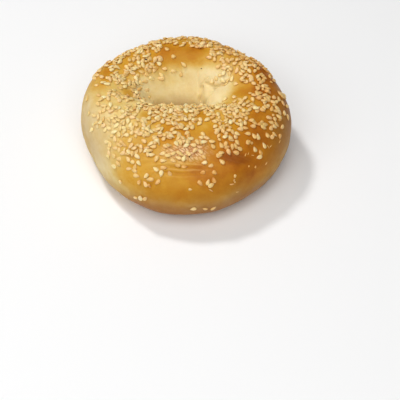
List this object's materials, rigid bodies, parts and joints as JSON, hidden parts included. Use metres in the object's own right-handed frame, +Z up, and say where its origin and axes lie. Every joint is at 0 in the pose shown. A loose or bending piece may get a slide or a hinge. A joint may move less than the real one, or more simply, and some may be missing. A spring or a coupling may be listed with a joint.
{
  "type": "sesame bagel",
  "caption": "Ring-shaped sesame bagel with a domed golden-brown top, a full pale side, a wide off-centre mouth narrowing to a small oval hole, and a flat base to lie on.",
  "frame": {"origin": "middle of the outline's box, on the flat base", "axes": "+Z up through the hole; -Y towards the thick front of the ring, +X to the right seen from the front"},
  "size_m": [0.1122, 0.1152, 0.0404],
  "materials": {
    "crust": "baked crust, golden brown with a soft sheen on top, pale cream low on the side and in the hole",
    "sesame": "baked sesame seeds, cream to toasted, drawn on the visual model"
  },
  "bodies": {
    "root": {"bagel": "crust"}
  },
  "joints": []
}
